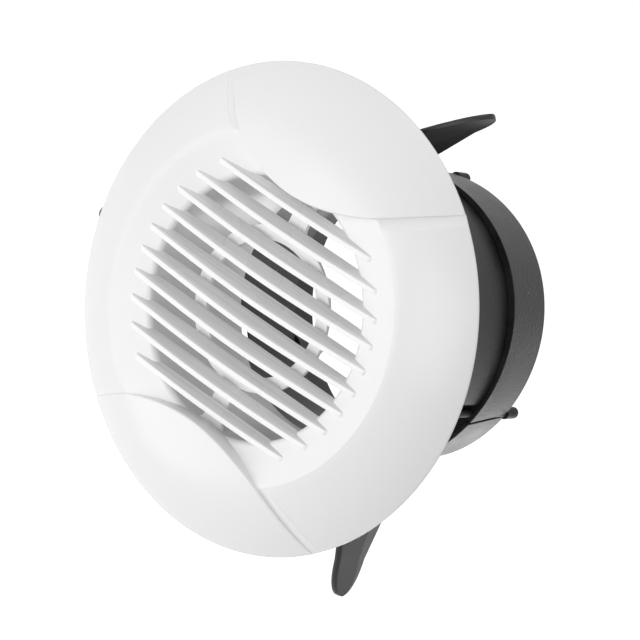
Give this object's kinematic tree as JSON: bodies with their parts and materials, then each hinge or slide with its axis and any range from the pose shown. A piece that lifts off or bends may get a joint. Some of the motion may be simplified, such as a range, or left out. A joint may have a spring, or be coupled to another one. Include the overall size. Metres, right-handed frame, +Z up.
{
  "type": "round louvred duct vent",
  "caption": "Round domed louvred vent for a duct, with a collar, a rear band and spring-loaded wings that grip behind a board.",
  "frame": {"origin": "centre of the face's back plane, which lies against the board", "axes": "+Y back into the duct along its axis, +Z up with the louvres level, +X to the right of someone who looks at the face"},
  "size_m": [0.1657, 0.1042, 0.1623],
  "materials": {
    "white_face": "satin moulded white",
    "black_collar": "fine-grained moulded black",
    "black_band": "fine-grained moulded black",
    "black_wings": "moulded black",
    "black_pins": "moulded black",
    "spring_steel": "drawn wire",
    "screw_steel": "zinc plated"
  },
  "bodies": {
    "vent": {"face_grille": "white_face", "collar_sleeve": "black_collar", "rear_band": "black_band", "hinge_pin_1": "black_pins", "hinge_pin_2": "black_pins", "hinge_pin_3": "black_pins", "collar_screw_1": "screw_steel", "collar_screw_2": "screw_steel", "collar_screw_3": "screw_steel"},
    "wing_1": {"wing_1": "black_wings", "torsion_spring_1": "spring_steel"},
    "wing_2": {"wing_2": "black_wings", "torsion_spring_2": "spring_steel"},
    "wing_3": {"wing_3": "black_wings", "torsion_spring_3": "spring_steel"}
  },
  "joints": [
    {"name": "wing_1_hinge", "type": "hinge", "parent": "vent", "child": "wing_1", "pos_m": [-0.01017, 0, 0.04404], "axis": [0, 1, 0], "range_deg": [0, 25], "stiffness_Nm_per_rad": 0.02, "springref_deg": -40.11},
    {"name": "wing_2_hinge", "type": "hinge", "parent": "vent", "child": "wing_2", "pos_m": [0.04322, 0, -0.01321], "axis": [0, 1, 0], "range_deg": [0, 22.5], "stiffness_Nm_per_rad": 0.02, "springref_deg": -40.11},
    {"name": "wing_3_hinge", "type": "hinge", "parent": "vent", "child": "wing_3", "pos_m": [-0.03306, 0, -0.03083], "axis": [0, 1, 0], "range_deg": [0, 20.5], "stiffness_Nm_per_rad": 0.02, "springref_deg": -40.11}
  ]
}
